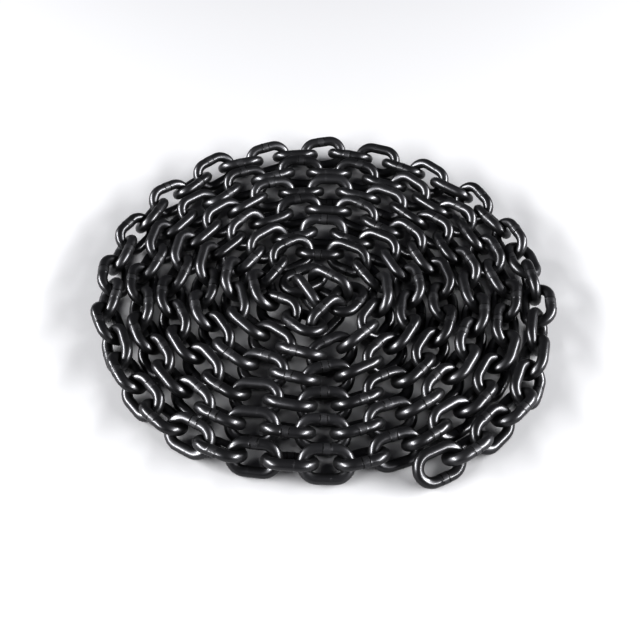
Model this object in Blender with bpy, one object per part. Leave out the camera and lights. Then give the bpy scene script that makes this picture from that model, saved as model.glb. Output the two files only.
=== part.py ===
"""A heap of lashing chain: one length of round link chain, laid down as a flat spiral on a floor.

Metres, +Z up, the floor at Z = 0, the middle of the coil's outline on the Z axis. The free outer end lies at
the near right, and the run winds inwards, counterclockwise from above. Each link is a bent bar, threaded
through its neighbours and leaning the other way to them. Links that bear on each other are one solid along a
turn, because they are drawn 0.4 mm into each other.
"""

import math
import random

import bmesh
import bpy
import numpy as np
from mathutils import Vector

# The chain: short round links of 8 mm bar
BAR = 0.008
PITCH = 0.024
LINK_WIDTH = 0.028
BAR_SIDES = 6
BAR_RADIUS = 0.00435  # to the corners of the six sided section, which is 98 percent of the round bar's in area
TIGHT = 0.0004  # how far each link is drawn into the next, which makes them one solid
PARTING = 0.0007  # how far two threaded links are apart where one solid ends and the next begins

# The spiral: how far the run lies from the middle, in pitches, every 45 degrees from the first bearing
FIRST_BEARING = -90.0
BEARING_STEP = 45.0
TURN_RADII = (
    (7.50, 7.08, 6.66, 6.45, 6.55, 6.68, 6.80, 6.64),
    (6.49, 6.10, 5.71, 5.47, 5.52, 5.70, 5.78, 5.69),
    (5.47, 5.15, 4.75, 4.48, 4.52, 4.71, 4.77, 4.73),
    (4.51, 4.22, 3.79, 3.52, 3.56, 3.74, 3.81, 3.77),
    (3.58, 3.22, 2.83, 2.55, 2.59, 2.78, 2.85, 2.82),
    (2.62, 2.22, 1.83, 1.57, 1.61, 1.77, 1.84, 1.80),
    (1.62, 1.27),
)
START_BEARING = -68.0  # where the free outer end lies
COIL_MIDDLE = (0.00056, -0.0004)  # the middle of the settled coil's outline, which the part is centred on
SWAY = 0.07  # how far a joint is laid in or out of the smooth spiral, in pitches
SWAY_SEED = 5

# The inner end, which leaves the spiral and folds back: for each link its far joint, in pitches from the
# middle, and its lean in degrees
INNER_END = (
    ((-2.00, 0.02), 45.0),
    ((-1.80, -0.90), -45.0),
    ((-1.12, -1.55), 45.0),
    ((-0.22, -1.75), -22.0),
    ((0.62, -1.30), 70.0),
    ((0.86, -0.38), -5.0),
    ((-0.10, 0.42), -80.0),
    ((-0.76, -0.24), 5.0),
    ((-0.10, -0.98), -80.0),
)

# How the links lean, in degrees from level, and where the run takes a quarter twist
LEAN = 45.0
TWIST_AT = 8
TWIST_LINKS = 5
QUARTER = 90.0
ROLL = 0.25  # of the angle between a link and the next
UNEVEN_LEAN = 8.0
LEAN_SEED = 22
EVEN_LINKS = 3  # the links at the outer end that lean evenly

# Settling: how near two bars that aren't threaded may lie, and how the run is let find its place
BAR_CLEARANCE = 0.0092
NEAR_LINKS = PITCH + 3 * BAR  # links whose middles are further apart can't touch
LEAST_SIDEWAYS = BAR / 4  # a bar that lies straight over another is still pushed sideways
SETTLE_STEPS = 160
HOLD = 0.02
HELD_SHARE = 0.6
SINK = 0.3
EVEN_OUT = 0.2
FLOOR_GAP = 0.0003
LENGTH_PASSES = 10
RING_POINTS = 44
BEARING_SEARCH = 1.0  # degrees
HALVINGS = 30

# The solids, outermost first, by their number of links
SOLIDS = (
    ("outer_end_link", 1),
    ("first_turn", 42),
    ("second_turn", 36),
    ("third_turn", 30),
    ("fourth_turn", 23),
    ("fifth_turn", 17),
    ("sixth_turn", 15),
)
LINKS = sum(count for _, count in SOLIDS)
BEND = (LINK_WIDTH - BAR) / 2  # the radius of a link's ends, to the middle of the bar
FACET = BAR_RADIUS * math.cos(math.pi / BAR_SIDES)  # from the bar's middle to its flat sides
STRAIGHT = PITCH + BAR - 2 * BEND
INSET = BEND - BAR / 2  # from where a link bears on the next to the middle of its end's bend

BLACK_STEEL = (0.012, 0.012, 0.014, 1.0)
METALLIC = 0.6
ROUGHNESS = 0.28
SHARP_ANGLE = math.radians(50)


def clear_scene():
    for thing in list(bpy.data.objects):
        bpy.data.objects.remove(thing)


def unit(rows):
    return rows / np.linalg.norm(rows, axis=1)[:, None]


def run_point(bearing):
    """A point of the smooth spiral, at a bearing that grows by 360 degrees with each turn."""
    radii = [radius for row in TURN_RADII for radius in row]
    place = (bearing - FIRST_BEARING) / BEARING_STEP
    k = min(max(int(place), 1), len(radii) - 3)
    t = place - k
    a, b, c, d = radii[k - 1 : k + 3]
    radius = b + t * (c - a + t * (2 * a - 5 * b + 4 * c - d + t * (3 * (b - c) + d - a))) / 2
    angle = math.radians(bearing)
    return np.array((math.cos(angle), math.sin(angle), 0.0)) * radius * PITCH


def joint_insets():
    """At every joint, how far it is from the middles of the two end bends that are threaded there."""
    insets = np.full(LINKS + 1, INSET + TIGHT / 2)
    first = 0
    for _, count in SOLIDS:
        insets[first] = INSET - PARTING / 2
        first += count
    return insets[:, None]


def laid_joints():
    """Where the links bear on each other: one chord after another along the spiral, then the inner end."""
    bearing = START_BEARING
    joints = [run_point(bearing)]
    for _ in range(LINKS - len(INNER_END)):
        low, high = bearing, bearing
        while np.linalg.norm(run_point(high) - joints[-1]) < PITCH:
            high += BEARING_SEARCH
        for _ in range(HALVINGS):
            middle = (low + high) / 2
            if np.linalg.norm(run_point(middle) - joints[-1]) < PITCH:
                low = middle
            else:
                high = middle
        bearing = high
        joints.append(run_point(bearing))
    uneven = random.Random(SWAY_SEED)
    for joint in joints[EVEN_LINKS:]:
        joint *= 1 + uneven.uniform(-SWAY, SWAY) * PITCH / np.linalg.norm(joint)
    joints += [np.array((x, y, 0.0)) * PITCH for (x, y), _ in INNER_END]
    joints = np.array(joints)
    joints[:, 2] = BEND * math.sin(math.radians(LEAN)) + FACET
    return joints


def link_leans(joints):
    """Each link's lean about the run: neighbours lean opposite ways, a little unevenly, the run twists slowly,
    and it rolls a little outwards where it turns, so that all its links reach the floor."""
    steps = unit(joints[1:] - joints[:-1])
    turns = np.degrees(np.arcsin(np.cross(steps[:-1], steps[1:])[:, 2]))
    uneven = random.Random(LEAN_SEED)
    leans = []
    for number in range(LINKS - len(INNER_END)):
        twist = min(max((number - TWIST_AT) / TWIST_LINKS + 0.5, 0.0), 1.0) * QUARTER
        roll = ROLL * (turns[max(number - 1, 0)] + turns[number]) / 2
        lean = (LEAN if number % 2 == 0 else -LEAN) + twist - roll
        if number >= EVEN_LINKS:
            lean += uneven.uniform(-UNEVEN_LEAN, UNEVEN_LEAN)
        leans.append(lean - 180.0 if lean > 90.0 else lean)
    return np.radians(leans + [lean for _, lean in INNER_END])


def link_corners():
    """The eight corners of a link's middle line: x along the run, y across it."""
    reach = (PITCH + BAR) / 2
    corner = BEND * math.tan(math.pi / 8)
    half = ((reach - BEND + corner, -BEND), (reach, -corner), (reach, corner), (reach - BEND + corner, BEND))
    return np.array(half + tuple((-x, -y) for x, y in half))


def ring_outline(count):
    """Points evenly round a link's middle line."""
    corners = link_corners()
    corners = np.append(corners, corners[:1], axis=0)
    passed = np.append(0.0, np.cumsum(np.linalg.norm(np.diff(corners, axis=0), axis=1)))
    at = passed[-1] * np.arange(count) / count
    return np.stack([np.interp(at, passed, corners[:, axis]) for axis in (0, 1)], axis=-1)


def across_way(along, leans):
    """Unit vectors across each link in its own plane, for links that lie along the given unit vectors."""
    level = unit(np.cross((0.0, 0.0, 1.0), along))
    rise = np.cross(along, level)
    return level * np.cos(leans)[:, None] + rise * np.sin(leans)[:, None]


def bend_middles(joints, leans, insets):
    """The middles of each link's two end bends. Where the run turns, each link swings round its neighbour's end
    bend in the neighbour's plane, so the bend middles are apart along neither link but between them."""
    steps = unit(joints[1:] - joints[:-1])
    across = across_way(steps, leans)
    one, other = steps[:-1], steps[1:]
    cosine, in_one, in_other = ((a * b).sum(axis=1)[:, None] for a, b in (
        (one, other), (other, across[:-1]), (one, across[1:])))
    swing = cosine * (one + other) + in_one * across[:-1] + in_other * across[1:]
    toward = unit(np.concatenate([steps[:1], swing, steps[-1:]])) * insets
    return joints[:-1] + toward[:-1], joints[1:] - toward[1:]


def link_axes(joints, leans, insets):
    """Each link's middle, and its unit vectors along the run and across its own plane."""
    start, stop = bend_middles(joints, leans, insets)
    along = unit(stop - start)
    return (start + stop) / 2, along, across_way(along, leans)


def floor_gaps(middle, along, across):
    """How far above the floor each link's low side is."""
    reach = link_corners()[3, 0] + BAR_RADIUS / 2
    return middle[:, 2] - BEND * np.abs(across[:, 2]) - reach * np.abs(along[:, 2]) - FACET


def settle(joints, leans, insets):
    """Moves the laid run sideways until no bar lies in another, with every link its own length."""
    outline = ring_outline(RING_POINTS)
    laid = joints.copy()
    share = outline[:, 0] / (PITCH + BAR) + 0.5
    for step in range(SETTLE_STEPS):
        middle, along, across = link_axes(joints, leans, insets)
        rings = middle[:, None] + outline[:, :1] * along[:, None] + outline[:, 1:] * across[:, None]
        apart = np.linalg.norm(middle[:, None] - middle[None], axis=2)
        one, other = np.nonzero(np.triu(apart < NEAR_LINKS, 2))
        between = rings[one][:, :, None] - rings[other][:, None]
        gap = np.linalg.norm(between, axis=3).reshape(len(one), -1)
        nearest = gap.argmin(axis=1)
        short = np.maximum(BAR_CLEARANCE - gap.min(axis=1), 0.0)
        at_one, at_other = np.divmod(nearest, RING_POINTS)
        away = between[np.arange(len(one)), at_one, at_other]
        away[:, 2] = 0.0
        away *= (short / 2 / np.maximum(np.linalg.norm(away, axis=1), LEAST_SIDEWAYS))[:, None]
        push = np.zeros_like(joints)
        for link, at, sign in ((one, at_one, 1), (other, at_other, -1)):
            np.add.at(push, link, sign * away * (1 - share[at])[:, None])
            np.add.at(push, link + 1, sign * away * share[at][:, None])
        hold = HOLD if step < HELD_SHARE * SETTLE_STEPS else 0.0
        joints = joints + push + hold * (laid - joints) * (1, 1, 0)
        lift = -floor_gaps(middle, along, across)
        lift[1:] += FLOOR_GAP
        lift = np.where(lift > 0, lift, SINK * lift)
        height = joints[:, 2]
        beside = np.append(height[1], height[:-1]) + np.append(height[1:], height[-2])
        height = height + EVEN_OUT * (beside / 2 - height)
        joints[:, 2] = height + np.maximum(np.append(lift[0], lift), np.append(lift, lift[-1]))
        joints[0, 2] += 2 * STRAIGHT * along[0, 2]  # the outer end link lies level
        for _ in range(LENGTH_PASSES):
            for first in (0, 1):
                start, stop = bend_middles(joints, leans, insets)
                span = (stop - start)[first::2]
                length = np.linalg.norm(span, axis=1)[:, None]
                fix = span * (length - STRAIGHT) / length / 2
                fix[:, 2] = 0.0
                joints[first:-1:2] += fix
                joints[first + 1 :: 2] -= fix
    middle, along, across = link_axes(joints, leans, insets)
    along[0, 2] = 0.0
    along = unit(along)
    across = across_way(along, leans)
    middle[:, 2] -= floor_gaps(middle, along, across)[0]
    middle[:, :2] -= COIL_MIDDLE
    return middle, along, across


def link_mesh(mesh, middle, along, across):
    """One link: a six sided bar bent round eight corners, closed on itself."""
    outline = [Vector(corner) for corner in link_corners()]
    normal = Vector(along).cross(Vector(across))
    low_side = math.atan2(-normal.z, abs(across[2]))  # a flat of the low bar faces straight down
    sections = []
    for k, here in enumerate(outline):
        before, after = outline[k - 1], outline[(k + 1) % len(outline)]
        one, two = (here - before).normalized(), (after - here).normalized()
        outward = Vector((one.y + two.y, -one.x - two.x)).normalized()
        stretch = 1 / math.cos(one.angle(two) / 2)
        out = Vector(along) * outward.x + Vector(across) * outward.y
        centre = Vector(middle) + Vector(along) * here.x + Vector(across) * here.y
        section = []
        for side in range(BAR_SIDES):
            angle = low_side + (side + 0.5) * 2 * math.pi / BAR_SIDES
            spot = centre + BAR_RADIUS * (out * math.cos(angle) * stretch + normal * math.sin(angle))
            section.append(mesh.verts.new(spot))
        sections.append(section)
    for k, section in enumerate(sections):
        after = sections[(k + 1) % len(sections)]
        for side in range(BAR_SIDES):
            beside = (side + 1) % BAR_SIDES
            mesh.faces.new((section[side], after[side], after[beside], section[beside]))


def black_steel():
    material = bpy.data.materials.new("black_steel")
    material.use_nodes = True
    shader = material.node_tree.nodes["Principled BSDF"]
    shader.inputs["Base Color"].default_value = BLACK_STEEL
    shader.inputs["Metallic"].default_value = METALLIC
    shader.inputs["Roughness"].default_value = ROUGHNESS
    return material


def links_object(name, numbers, axes, material):
    """A mesh object of the links with these numbers."""
    mesh = bmesh.new()
    for number in numbers:
        link_mesh(mesh, *(part[number] for part in axes))
    bmesh.ops.recalc_face_normals(mesh, faces=mesh.faces)
    data = bpy.data.meshes.new(name)
    mesh.to_mesh(data)
    mesh.free()
    data.materials.append(material)
    data.shade_smooth()
    data.set_sharp_from_angle(angle=SHARP_ANGLE)
    thing = bpy.data.objects.new(name, data)
    bpy.context.scene.collection.objects.link(thing)
    return thing


def chain_solid(name, first, count, axes):
    """The links from one number on, as one solid: every second link is joined to those between."""
    material = black_steel()
    thing = links_object(name, range(first, first + count, 2), axes, material)
    if count > 1:
        between = links_object(name + "_between", range(first + 1, first + count, 2), axes, material)
        between.hide_render = True
        between.display_type = "WIRE"
        join = thing.modifiers.new("join", "BOOLEAN")
        join.operation = "UNION"
        join.solver = "EXACT"
        join.object = between
    return thing


def main():
    clear_scene()
    laid, insets = laid_joints(), joint_insets()
    leans = link_leans(laid)
    axes = settle(laid, leans, insets)
    first = 0
    for name, count in SOLIDS:
        chain_solid(name, first, count, axes)
        first += count


main()
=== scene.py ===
"""The looks of a heap of lashing chain: one length of short round links, laid down as a flat spiral.

Metres, +Z up, the lowest flat of the part's solids at Z = 0. The run is laid and settled as the part's own
is, and a fine round link with a welded joint is set at every place along it, in glossy black.
"""

import math
import random

import bmesh
import bpy
import numpy as np
from mathutils import Matrix, Vector, noise


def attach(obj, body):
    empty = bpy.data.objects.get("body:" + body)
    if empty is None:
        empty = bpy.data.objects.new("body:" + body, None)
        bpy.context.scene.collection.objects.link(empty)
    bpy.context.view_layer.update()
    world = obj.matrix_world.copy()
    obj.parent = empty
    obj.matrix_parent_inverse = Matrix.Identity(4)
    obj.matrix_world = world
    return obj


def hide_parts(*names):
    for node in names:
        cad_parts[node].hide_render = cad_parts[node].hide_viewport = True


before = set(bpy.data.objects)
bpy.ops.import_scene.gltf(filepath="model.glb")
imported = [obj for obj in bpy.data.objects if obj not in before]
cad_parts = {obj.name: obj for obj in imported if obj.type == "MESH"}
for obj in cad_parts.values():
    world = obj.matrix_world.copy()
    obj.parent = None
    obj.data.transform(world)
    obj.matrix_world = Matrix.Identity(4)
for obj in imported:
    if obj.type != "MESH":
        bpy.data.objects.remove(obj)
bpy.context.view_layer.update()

# The chain: short round links of 8 mm bar
BAR = 0.008
PITCH = 0.024
LINK_WIDTH = 0.028
BAR_SIDES = 6  # of the solids' bar, as its flats and corners set how the run settles
BAR_RADIUS = 0.00435  # to the corners of the solids' bar
TIGHT = 0.0004  # how far each link is drawn into the next
PARTING = 0.0007  # how far two threaded links are apart where one piece ends and the next begins

# The spiral: how far the run lies from the middle, in pitches, every 45 degrees from the first bearing
FIRST_BEARING = -90.0
BEARING_STEP = 45.0
TURN_RADII = (
    (7.50, 7.08, 6.66, 6.45, 6.55, 6.68, 6.80, 6.64),
    (6.49, 6.10, 5.71, 5.47, 5.52, 5.70, 5.78, 5.69),
    (5.47, 5.15, 4.75, 4.48, 4.52, 4.71, 4.77, 4.73),
    (4.51, 4.22, 3.79, 3.52, 3.56, 3.74, 3.81, 3.77),
    (3.58, 3.22, 2.83, 2.55, 2.59, 2.78, 2.85, 2.82),
    (2.62, 2.22, 1.83, 1.57, 1.61, 1.77, 1.84, 1.80),
    (1.62, 1.27),
)
START_BEARING = -68.0  # where the free outer end lies
COIL_MIDDLE = (0.00056, -0.0004)  # the middle of the settled coil's outline, which the part is centred on
SWAY = 0.07  # how far a joint is laid in or out of the smooth spiral, in pitches
SWAY_SEED = 5

# The inner end, which leaves the spiral and folds back: for each link its far joint, in pitches from the
# middle, and its lean in degrees
INNER_END = (
    ((-2.00, 0.02), 45.0),
    ((-1.80, -0.90), -45.0),
    ((-1.12, -1.55), 45.0),
    ((-0.22, -1.75), -22.0),
    ((0.62, -1.30), 70.0),
    ((0.86, -0.38), -5.0),
    ((-0.10, 0.42), -80.0),
    ((-0.76, -0.24), 5.0),
    ((-0.10, -0.98), -80.0),
)

# How the links lean, in degrees from level, and where the run takes a quarter twist
LEAN = 45.0
TWIST_AT = 8
TWIST_LINKS = 5
QUARTER = 90.0
ROLL = 0.25  # of the angle between a link and the next
UNEVEN_LEAN = 8.0  # at most, either way
LEAN_SEED = 22
EVEN_LINKS = 3  # the links at the outer end that lie and lean evenly

# Settling: how near two bars that aren't threaded may lie, and how the run is let find its place
BAR_CLEARANCE = 0.0092
NEAR_LINKS = PITCH + 3 * BAR  # links whose middles are further apart can't touch
LEAST_SIDEWAYS = BAR / 4  # a bar that lies straight over another is still pushed sideways
SETTLE_STEPS = 160
HOLD = 0.02
HELD_SHARE = 0.6
SINK = 0.3
EVEN_OUT = 0.2
FLOOR_GAP = 0.0003
LENGTH_PASSES = 10
RING_POINTS = 44
BEARING_SEARCH = 1.0  # degrees
HALVINGS = 30

# The part's solids, outermost first, by their number of links
SOLIDS = (
    ("outer_end_link", 1),
    ("first_turn", 42),
    ("second_turn", 36),
    ("third_turn", 30),
    ("fourth_turn", 23),
    ("fifth_turn", 17),
    ("sixth_turn", 15),
)
LINKS = sum(count for _, count in SOLIDS)
BEND = (LINK_WIDTH - BAR) / 2  # the radius of a link's ends, to the middle of the bar
FACET = BAR_RADIUS * math.cos(math.pi / BAR_SIDES)  # from the bar's middle to its flat sides
STRAIGHT = PITCH + BAR - 2 * BEND
INSET = BEND - BAR / 2  # from where a link bears on the next to the middle of its end's bend

# The fine link: faces round the bar and along each end's bend
ROUND_SIDES = 24
BEND_STEPS = 18
MERGE = 1e-6

# The weld across one straight side: where loops of points lie from its middle, how thick it is, the broken
# ridge at each of its edges, and its roughness. Each kind of link reads the noise at another place.
WELD_STATIONS = (0.0009, 0.0017, 0.0022, 0.0025, 0.0028, 0.0031, 0.0036, 0.0046)
WELD_HALF = 0.0027
WELD_END = 2.0  # in halves of the weld, as the next is
SWELL_END = 1.5
WELD_SWELL = 0.00014
RIDGE_RISE = 0.0002
RIDGE_WIDTH = 0.0004
RIDGE_DRIFT = 0.0008
RIDGE_SHARE = 0.3
RIDGE_PATCHES = 2.2
RIDGE_MOST = 1.3
ROUGH_RISE = 0.00012
MILLIMETRES = 1000  # in a metre, for the grain of the noise
PATCH_GRAIN, PATCH_APART = 0.3, 7.3
DRIFT_GRAIN, DRIFT_APART = 0.25, 3.7
ROUGH_GRAIN, ROUGH_APART = 1.2, 5.1

# What is drawn by chance for every link: its kind, its tone, and the side that its weld is on
LINK_KINDS = 6
LINK_SEED = 8
UPPER_WELDS = 0.62  # the share of links that have their weld on the upper side
LOW_WELD = 0  # the number of the link that has its weld on the low side for certain, the outer end link

# The black finish: the darkest link and the lightest, a dull weld, worn specks on it, and painted shade in
# the crevices beside it
DARK_LINK = (0.034, 0.034, 0.036, 1.0)
LIGHT_LINK = (0.054, 0.054, 0.057, 1.0)
WORN_GREY = (0.22, 0.22, 0.23, 1.0)
# painted shade for the crevices beside each weld
CREVICE_PAINTED_SHADE = (0.004, 0.004, 0.004, 1.0)
TONES_APART = 60  # how far the noise moves from the darkest link to the lightest
BROAD_GRAIN, BROAD_DETAIL, BROAD_RISE = 160, 3, 0.00002
PEEL_GRAIN, PEEL_DETAIL, PEEL_RISE = 900, 2, 0.000002
GRIT_GRAIN, GRIT_DETAIL, GRIT_RISE = 2600, 3, 0.00005
GRIT_SHARP = 0.6
SEAM_GRAIN, SEAM_DETAIL, SEAM_DRIFT = 220, 2, 0.003
WELD_FADE_IN, WELD_FADE_OUT = 0.0002, 0.0008
CREVICE_EDGES = (0.0002, 0.0006)
CREVICE_BREAKS = (0.42, 0.56)
CREVICE_DEPTH = 0.00008
WORN_SPECKS = (0.58, 0.70)
WORN_SHARE = 0.5
METALLIC = 0.88
ROUGHNESS, TONE_ROUGHER, PEEL_ROUGHER, WELD_ROUGHER = 0.34, 0.05, 0.04, 0.12
COAT, COAT_LOST = 0.24, 0.22
COAT_ROUGHNESS = 0.17
COAT_IOR = 1.5

# The camera, as the photograph was taken
LENS = 53.97
SENSOR = 36.0
CAMERA_RISE = math.radians(50)
CAMERA_DISTANCE = 0.72
CAMERA_TARGET = (-0.00237, -0.03159, 0.01183)  # from the middle that the spiral is laid round

# The studio: a soft box at the left and at the right, a dim room and a pale floor
BOX_ASIDE, BOX_NEARER, BOX_UP = 1.4, 0.3, 0.78
BOX_SIZE = (1.9, 0.34)
BOX_POWER = 112.0
ROOM_COLOUR = (0.125, 0.125, 0.150, 1.0)
FLOOR_COLOUR = (0.30, 0.30, 0.305, 1.0)
FLOOR_ROUGHNESS = 0.9
FLOOR_DROP = 0.0006  # the round bar reaches lower than the flats of the solids' bar
FLOOR_REACH = 3.0
TONE_GAMMA = 0.74  # under 1 deepens the darks


def unit(rows):
    return rows / np.linalg.norm(rows, axis=1)[:, None]


def run_point(bearing):
    """A point of the smooth spiral, at a bearing that grows by 360 degrees with each turn."""
    radii = [radius for row in TURN_RADII for radius in row]
    place = (bearing - FIRST_BEARING) / BEARING_STEP
    k = min(max(int(place), 1), len(radii) - 3)
    t = place - k
    a, b, c, d = radii[k - 1 : k + 3]
    radius = b + t * (c - a + t * (2 * a - 5 * b + 4 * c - d + t * (3 * (b - c) + d - a))) / 2
    angle = math.radians(bearing)
    return np.array((math.cos(angle), math.sin(angle), 0.0)) * radius * PITCH


def joint_insets():
    """At every joint, how far it is from the middles of the two end bends that are threaded there."""
    insets = np.full(LINKS + 1, INSET + TIGHT / 2)
    first = 0
    for _, count in SOLIDS:
        insets[first] = INSET - PARTING / 2
        first += count
    return insets[:, None]


def laid_joints():
    """Where the links bear on each other: one chord after another along the spiral, then the inner end."""
    bearing = START_BEARING
    joints = [run_point(bearing)]
    for _ in range(LINKS - len(INNER_END)):
        low, high = bearing, bearing
        while np.linalg.norm(run_point(high) - joints[-1]) < PITCH:
            high += BEARING_SEARCH
        for _ in range(HALVINGS):
            middle = (low + high) / 2
            if np.linalg.norm(run_point(middle) - joints[-1]) < PITCH:
                low = middle
            else:
                high = middle
        bearing = high
        joints.append(run_point(bearing))
    uneven = random.Random(SWAY_SEED)
    for joint in joints[EVEN_LINKS:]:
        joint *= 1 + uneven.uniform(-SWAY, SWAY) * PITCH / np.linalg.norm(joint)
    joints += [np.array((x, y, 0.0)) * PITCH for (x, y), _ in INNER_END]
    joints = np.array(joints)
    joints[:, 2] = BEND * math.sin(math.radians(LEAN)) + FACET
    return joints


def link_leans(joints):
    """Each link's lean about the run: neighbours lean opposite ways, a little unevenly, the run takes one
    slow twist, and it rolls a little outwards where it turns."""
    steps = unit(joints[1:] - joints[:-1])
    turns = np.degrees(np.arcsin(np.cross(steps[:-1], steps[1:])[:, 2]))
    uneven = random.Random(LEAN_SEED)
    leans = []
    for number in range(LINKS - len(INNER_END)):
        twist = min(max((number - TWIST_AT) / TWIST_LINKS + 0.5, 0.0), 1.0) * QUARTER
        roll = ROLL * (turns[max(number - 1, 0)] + turns[number]) / 2
        lean = (LEAN if number % 2 == 0 else -LEAN) + twist - roll
        if number >= EVEN_LINKS:
            lean += uneven.uniform(-UNEVEN_LEAN, UNEVEN_LEAN)
        leans.append(lean - 180.0 if lean > 90.0 else lean)
    return np.radians(leans + [lean for _, lean in INNER_END])


def link_corners():
    """The eight corners of a link's middle line: x along the run, y across it."""
    reach = (PITCH + BAR) / 2
    corner = BEND * math.tan(math.pi / 8)
    start = reach - BEND + corner
    half = ((start, -BEND), (reach, -corner), (reach, corner), (start, BEND))
    return np.array(half + tuple((-x, -y) for x, y in half))


def ring_outline(count):
    """Points evenly round a link's middle line."""
    corners = link_corners()
    corners = np.append(corners, corners[:1], axis=0)
    passed = np.append(0.0, np.cumsum(np.linalg.norm(np.diff(corners, axis=0), axis=1)))
    at = passed[-1] * np.arange(count) / count
    return np.stack([np.interp(at, passed, corners[:, axis]) for axis in (0, 1)], axis=-1)


def across_way(along, leans):
    """Unit vectors across each link in its own plane, for links that lie along the given unit vectors."""
    level = unit(np.cross((0.0, 0.0, 1.0), along))
    rise = np.cross(along, level)
    return level * np.cos(leans)[:, None] + rise * np.sin(leans)[:, None]


def bend_middles(joints, leans, insets):
    """The middles of each link's two end bends. Where the run turns, each link swings round its neighbour's
    end bend in the neighbour's plane, so the bend middles are apart along neither link but between them."""
    steps = unit(joints[1:] - joints[:-1])
    across = across_way(steps, leans)
    one, other = steps[:-1], steps[1:]
    cosine, in_one, in_other = ((a * b).sum(axis=1)[:, None] for a, b in (
        (one, other), (other, across[:-1]), (one, across[1:])))
    swing = cosine * (one + other) + in_one * across[:-1] + in_other * across[1:]
    toward = unit(np.concatenate([steps[:1], swing, steps[-1:]])) * insets
    return joints[:-1] + toward[:-1], joints[1:] - toward[1:]


def link_axes(joints, leans, insets):
    """Each link's middle, and its unit vectors along the run and across its own plane."""
    start, stop = bend_middles(joints, leans, insets)
    along = unit(stop - start)
    return (start + stop) / 2, along, across_way(along, leans)


def floor_gaps(middle, along, across):
    """How far above the floor each link's low side is."""
    reach = link_corners()[3, 0] + BAR_RADIUS / 2
    return middle[:, 2] - BEND * np.abs(across[:, 2]) - reach * np.abs(along[:, 2]) - FACET


def settle(joints, leans, insets):
    """Moves the laid run sideways until no bar lies in another, with every link its own length, and lets it
    down to the floor. Gives what link_axes gives."""
    outline = ring_outline(RING_POINTS)
    laid = joints.copy()
    share = outline[:, 0] / (PITCH + BAR) + 0.5
    for step in range(SETTLE_STEPS):
        middle, along, across = link_axes(joints, leans, insets)
        rings = middle[:, None] + outline[:, :1] * along[:, None] + outline[:, 1:] * across[:, None]
        apart = np.linalg.norm(middle[:, None] - middle[None], axis=2)
        one, other = np.nonzero(np.triu(apart < NEAR_LINKS, 2))
        between = rings[one][:, :, None] - rings[other][:, None]
        gap = np.linalg.norm(between, axis=3).reshape(len(one), -1)
        nearest = gap.argmin(axis=1)
        short = np.maximum(BAR_CLEARANCE - gap.min(axis=1), 0.0)
        at_one, at_other = np.divmod(nearest, RING_POINTS)
        away = between[np.arange(len(one)), at_one, at_other]
        away[:, 2] = 0.0
        away *= (short / 2 / np.maximum(np.linalg.norm(away, axis=1), LEAST_SIDEWAYS))[:, None]
        push = np.zeros_like(joints)
        for link, at, sign in ((one, at_one, 1), (other, at_other, -1)):
            np.add.at(push, link, sign * away * (1 - share[at])[:, None])
            np.add.at(push, link + 1, sign * away * share[at][:, None])
        hold = HOLD if step < HELD_SHARE * SETTLE_STEPS else 0.0
        joints = joints + push + hold * (laid - joints) * (1, 1, 0)
        lift = -floor_gaps(middle, along, across)
        lift[1:] += FLOOR_GAP
        lift = np.where(lift > 0, lift, SINK * lift)
        height = joints[:, 2]
        beside = np.append(height[1], height[:-1]) + np.append(height[1:], height[-2])
        height = height + EVEN_OUT * (beside / 2 - height)
        joints[:, 2] = height + np.maximum(np.append(lift[0], lift), np.append(lift, lift[-1]))
        joints[0, 2] += 2 * STRAIGHT * along[0, 2]  # the outer end link lies level
        for _ in range(LENGTH_PASSES):
            for first in (0, 1):
                start, stop = bend_middles(joints, leans, insets)
                span = (stop - start)[first::2]
                length = np.linalg.norm(span, axis=1)[:, None]
                fix = span * (length - STRAIGHT) / length / 2
                fix[:, 2] = 0.0
                joints[first:-1:2] += fix
                joints[first + 1 :: 2] -= fix
    middle, along, across = link_axes(joints, leans, insets)
    along[0, 2] = 0.0
    along = unit(along)
    across = across_way(along, leans)
    middle[:, 2] -= floor_gaps(middle, along, across)[0]
    middle[:, :2] -= COIL_MIDDLE
    return middle, along, across


def bar_place(spot):
    """Where a spot of a link is on its bar: how far from the weld's middle, and which way from the bar's."""
    x, y, z = spot
    ahead = max(abs(x) - STRAIGHT / 2, 0.0)
    arm = math.hypot(ahead, y)
    turned = math.atan2(ahead, -y)
    along = min(abs(x), STRAIGHT / 2) if y < 0 else STRAIGHT - min(abs(x), STRAIGHT / 2)
    passed = along + BEND * turned if ahead or y < 0 else along + BEND * math.pi
    outward = Vector((math.copysign(ahead, x), y, 0.0)) / arm
    return math.copysign(passed, x), outward * (arm - BEND) + Vector((0.0, 0.0, z))


def weld_rise(passed, out, kind):
    """How far the weld stands proud of the bar at a place along it."""
    beyond = abs(passed) / WELD_HALF
    if beyond > WELD_END:
        return 0.0
    spot = Vector((passed, out.y, out.z)) * MILLIMETRES
    patch = noise.noise(spot * PATCH_GRAIN + Vector((kind * PATCH_APART, 0.0, 0.0)))
    drift = noise.noise(spot * DRIFT_GRAIN + Vector((0.0, 0.0, kind * DRIFT_APART)))
    rough = noise.noise(spot * ROUGH_GRAIN + Vector((0.0, kind * ROUGH_APART, 0.0))) if beyond < 1 else 0.0
    edge = abs(passed) - WELD_HALF - RIDGE_DRIFT * drift
    broken = min(max(RIDGE_SHARE + RIDGE_PATCHES * patch, 0.0), RIDGE_MOST)
    ridge = RIDGE_RISE * math.exp(-((edge / RIDGE_WIDTH) ** 2)) * broken
    swell = WELD_SWELL * max(1 - (beyond / SWELL_END) ** 2, 0.0) * (1 + patch)
    return swell + ridge + ROUGH_RISE * rough


def extruded(mesh, edges, step):
    """The next loop of a bar that is drawn out by one step."""
    made = bmesh.ops.extrude_edge_only(mesh, edges=edges)["geom"]
    bmesh.ops.translate(mesh, verts=[v for v in made if isinstance(v, bmesh.types.BMVert)], vec=step)
    return [e for e in made if isinstance(e, bmesh.types.BMEdge) and is_loop(e, made)]


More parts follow.
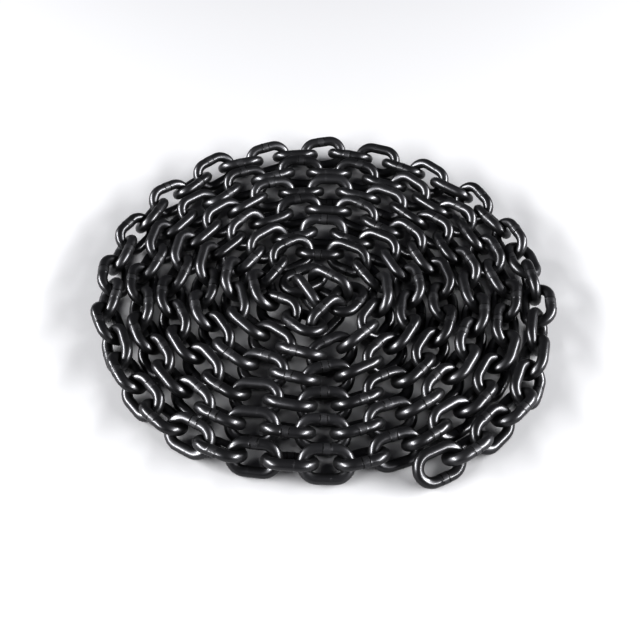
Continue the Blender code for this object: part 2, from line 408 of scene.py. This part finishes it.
def is_loop(edge, made):
    """Whether an edge lies in the new loop, and not between it and the last one."""
    ends = set(v for v in made if isinstance(v, bmesh.types.BMVert))
    return all(v in ends for v in edge.verts)


def round_link(kind):
    """A single link, lying level with its weld at the near side: x along the run, y across it. It carries
    where each point is on the bar and in the link, for the finish."""
    mesh = bmesh.new()
    section = Matrix.Translation((0.0, -BEND, 0.0)) @ Matrix.Rotation(math.pi / 2, 4, "Y")
    bmesh.ops.create_circle(mesh, cap_ends=False, radius=BAR / 2, segments=ROUND_SIDES, matrix=section)
    loop = mesh.edges[:]
    stations = (0.0,) + WELD_STATIONS + (STRAIGHT / 2,)
    for here, after in zip(stations, stations[1:]):
        loop = extruded(mesh, loop, (after - here, 0.0, 0.0))
    verts = list(dict.fromkeys(v for e in loop for v in e.verts))
    made = bmesh.ops.spin(mesh, geom=verts + loop, cent=(STRAIGHT / 2, 0.0, 0.0), axis=(0.0, 0.0, 1.0),
                          angle=math.pi, steps=BEND_STEPS)["geom_last"]
    loop = [e for e in made if isinstance(e, bmesh.types.BMEdge)]
    extruded(mesh, loop, (-STRAIGHT / 2, 0.0, 0.0))
    bmesh.ops.mirror(mesh, geom=mesh.verts[:] + mesh.edges[:] + mesh.faces[:], axis="X", merge_dist=MERGE)
    bmesh.ops.remove_doubles(mesh, verts=mesh.verts[:], dist=MERGE)
    bmesh.ops.recalc_face_normals(mesh, faces=mesh.faces[:])
    place = mesh.verts.layers.float_vector.new("bar_place")
    local = mesh.verts.layers.float_vector.new("link_place")
    mesh.verts.layers.float.new("link_tone")
    for vert in mesh.verts:
        passed, out = bar_place(vert.co)
        level = out.to_2d()
        vert[place] = (passed, math.copysign(level.length, level.dot(vert.co.to_2d())), out.z)
        vert[local] = vert.co
        vert.co += out.normalized() * weld_rise(passed, out, kind)
    for face in mesh.faces:
        face.smooth = True
    data = bpy.data.meshes.new("link_kind_" + str(kind))
    mesh.to_mesh(data)
    mesh.free()
    return data


def links_piece(name, numbers, axes, kinds, finish, chance):
    """The fine links with these numbers, as one piece."""
    mesh = bmesh.new()
    for number in numbers:
        middle, along, across = (Vector(part[number]) for part in axes)
        upper = math.copysign(1.0, -across.z)
        side = upper if chance.random() < UPPER_WELDS and number != LOW_WELD else -upper
        end = chance.choice((1.0, -1.0))
        along, across = along * end, across * side
        place = Matrix((along, across, along.cross(across))).transposed().to_4x4()
        place.translation = middle
        before = len(mesh.verts)
        mesh.from_mesh(kinds[chance.randrange(len(kinds))])
        mesh.verts.ensure_lookup_table()
        new = mesh.verts[before:]
        bmesh.ops.transform(mesh, matrix=place, verts=new)
        tone = mesh.verts.layers.float["link_tone"]
        shade = chance.random()
        for vert in new:
            vert[tone] = shade
    data = bpy.data.meshes.new(name)
    mesh.to_mesh(data)
    mesh.free()
    data.materials.append(finish)
    thing = bpy.data.objects.new(name, data)
    bpy.context.scene.collection.objects.link(thing)
    return thing


class Value:
    """A socket that gives a value, on which the maths signs add their own nodes."""

    def __init__(self, finish, socket):
        self.finish = finish
        self.socket = socket

    def worked(self, operation, *values):
        return self.finish.node("ShaderNodeMath", {"operation": operation}, dict(enumerate(values)))

    def __add__(self, other):
        return self.worked("ADD", self, other)

    def __radd__(self, other):
        return self.worked("ADD", other, self)

    def __sub__(self, other):
        return self.worked("SUBTRACT", self, other)

    def __rsub__(self, other):
        return self.worked("SUBTRACT", other, self)

    def __mul__(self, other):
        return self.worked("MULTIPLY", self, other)

    def __rmul__(self, other):
        return self.worked("MULTIPLY", other, self)

    def between(self, low, high):
        """0 below the low value, 1 above the high one and smooth between."""
        settings = {"interpolation_type": "SMOOTHSTEP"}
        return self.finish.node("ShaderNodeMapRange", settings, {0: self, 1: low, 2: high})


class Finish:
    """A material, whose nodes are all added in one way."""

    def __init__(self, name):
        self.material = bpy.data.materials.new(name)
        self.material.use_nodes = True
        self.tree = self.material.node_tree
        self.shader = self.tree.nodes["Principled BSDF"]

    def node(self, kind, settings, values, output=0):
        node = self.tree.nodes.new(kind)
        for name, setting in settings.items():
            setattr(node, name, setting)
        self.feed(node, values)
        return Value(self, node.outputs[output])

    def feed(self, node, values):
        for name, value in values.items():
            if isinstance(value, Value):
                self.tree.links.new(value.socket, node.inputs[name])
            else:
                node.inputs[name].default_value = value

    def attribute(self, name, output="Vector"):
        return self.node("ShaderNodeAttribute", {"attribute_name": name}, {}, output)

    def noise(self, place, seed, scale, detail=2.0, roughness=0.5):
        values = {"Vector": place, "W": seed, "Scale": scale, "Detail": detail, "Roughness": roughness}
        return self.node("ShaderNodeTexNoise", {"noise_dimensions": "4D"}, values)

    def mixed(self, share, one, other):
        return self.node("ShaderNodeMix", {"data_type": "RGBA"}, {0: share, 6: one, 7: other}, 2)


def black_finish():
    """Glossy black over hot formed bar: a thin uneven coat, dull rough welds, worn grey specks on them, and
    painted shade in the crevices at the welds' edges.
    """
    finish = Finish("black_chain_finish")
    link = finish.attribute("link_place")
    tone = finish.attribute("link_tone", "Fac")
    bar = finish.attribute("bar_place")
    seed = tone * TONES_APART
    passed = finish.node("ShaderNodeSeparateXYZ", {}, {0: bar})
    near = finish.node("ShaderNodeMath", {"operation": "ABSOLUTE"}, {0: passed})
    weld = 1 - near.between(WELD_HALF - WELD_FADE_IN, WELD_HALF + WELD_FADE_OUT)
    seam = finish.noise(bar, seed, SEAM_GRAIN, SEAM_DETAIL)
    past_seam = near - WELD_HALF + seam * SEAM_DRIFT - SEAM_DRIFT / 2
    beside = finish.node("ShaderNodeMath", {"operation": "ABSOLUTE"}, {0: past_seam})
    # where the groove runs beside the weld: it sinks the bump, thins the coat and darkens the colour as
    # painted shade
    crevice_groove_and_shade = (1 - beside.between(*CREVICE_EDGES)) * seam.between(*CREVICE_BREAKS)
    broad = finish.noise(link, seed, BROAD_GRAIN, BROAD_DETAIL)
    peel = finish.noise(link, seed, PEEL_GRAIN, PEEL_DETAIL)
    grit = finish.noise(link, seed, GRIT_GRAIN, GRIT_DETAIL, GRIT_SHARP)
    worn = weld * grit.between(*WORN_SPECKS)
    height = broad * BROAD_RISE + peel * PEEL_RISE + grit * weld * GRIT_RISE - crevice_groove_and_shade * CREVICE_DEPTH
    normal = finish.node("ShaderNodeBump", {}, {"Strength": 1.0, "Distance": 1.0, "Height": height})
    black = finish.mixed(tone, DARK_LINK, LIGHT_LINK)
    rubbed = finish.mixed(worn * WORN_SHARE, black, WORN_GREY)
    # the crevices' darker colour is painted shade, where the groove's shadow would fall
    coloured = finish.mixed(crevice_groove_and_shade, rubbed, CREVICE_PAINTED_SHADE)
    finish.feed(finish.shader, {
        "Base Color": coloured,
        "Metallic": METALLIC,
        "Roughness": ROUGHNESS + tone * TONE_ROUGHER + peel * PEEL_ROUGHER + weld * WELD_ROUGHER,
        "Coat Weight": COAT - crevice_groove_and_shade * COAT_LOST,
        "Coat Roughness": COAT_ROUGHNESS,
        "Coat IOR": COAT_IOR,
        "Normal": normal,
    })
    return finish.material


def floor():
    """The pale floor that the chain lies on."""
    mesh = bmesh.new()
    bmesh.ops.create_grid(mesh, x_segments=1, y_segments=1, size=FLOOR_REACH)
    bmesh.ops.translate(mesh, verts=mesh.verts[:], vec=(0.0, 0.0, -FLOOR_DROP))
    data = bpy.data.meshes.new("floor")
    mesh.to_mesh(data)
    mesh.free()
    finish = Finish("pale_floor")
    finish.feed(finish.shader, {"Base Color": FLOOR_COLOUR, "Roughness": FLOOR_ROUGHNESS})
    data.materials.append(finish.material)
    thing = bpy.data.objects.new("floor", data)
    bpy.context.scene.collection.objects.link(thing)


def soft_light(name, place):
    """A long soft box that faces the coil."""
    data = bpy.data.lights.new(name, "AREA")
    data.shape = "RECTANGLE"
    data.size, data.size_y = BOX_SIZE
    data.energy = BOX_POWER
    thing = bpy.data.objects.new(name, data)
    thing.location = place
    thing.rotation_euler = (-Vector(place)).to_track_quat("-Z", "Y").to_euler()
    bpy.context.scene.collection.objects.link(thing)


def studio():
    """Two long soft boxes left and right, and a dim room."""
    soft_light("left_light", (-BOX_ASIDE, -BOX_NEARER, BOX_UP))
    soft_light("right_light", (BOX_ASIDE, -BOX_NEARER, BOX_UP))
    world = bpy.data.worlds.new("room")
    world.use_nodes = True
    world.node_tree.nodes["Background"].inputs["Color"].default_value = ROOM_COLOUR
    bpy.context.scene.world = world
    bpy.context.scene.view_settings.view_transform = "Standard"
    bpy.context.scene.view_settings.gamma = TONE_GAMMA


def photo_camera():
    """The camera at the photograph's angle."""
    data = bpy.data.cameras.new("photo_camera")
    data.lens = LENS
    data.sensor_width = SENSOR
    camera = bpy.data.objects.new("photo_camera", data)
    back = Vector((0.0, -math.cos(CAMERA_RISE), math.sin(CAMERA_RISE)))
    target = Vector(CAMERA_TARGET) - Vector(COIL_MIDDLE).to_3d()
    camera.location = target + back * CAMERA_DISTANCE
    camera.rotation_euler = (-back).to_track_quat("-Z", "Y").to_euler()
    bpy.context.scene.collection.objects.link(camera)
    bpy.context.scene.camera = camera


photo_camera()
laid, insets = laid_joints(), joint_insets()
axes = settle(laid, link_leans(laid), insets)
chance = random.Random(LINK_SEED)
kinds = [round_link(kind) for kind in range(LINK_KINDS)]
finish = black_finish()
first = 0
for name, count in SOLIDS:
    piece = links_piece(name + "_chain", range(first, first + count), axes, kinds, finish, chance)
    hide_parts(name)
    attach(piece, "root")
    first += count
for kind in kinds:
    bpy.data.meshes.remove(kind)
floor()
studio()
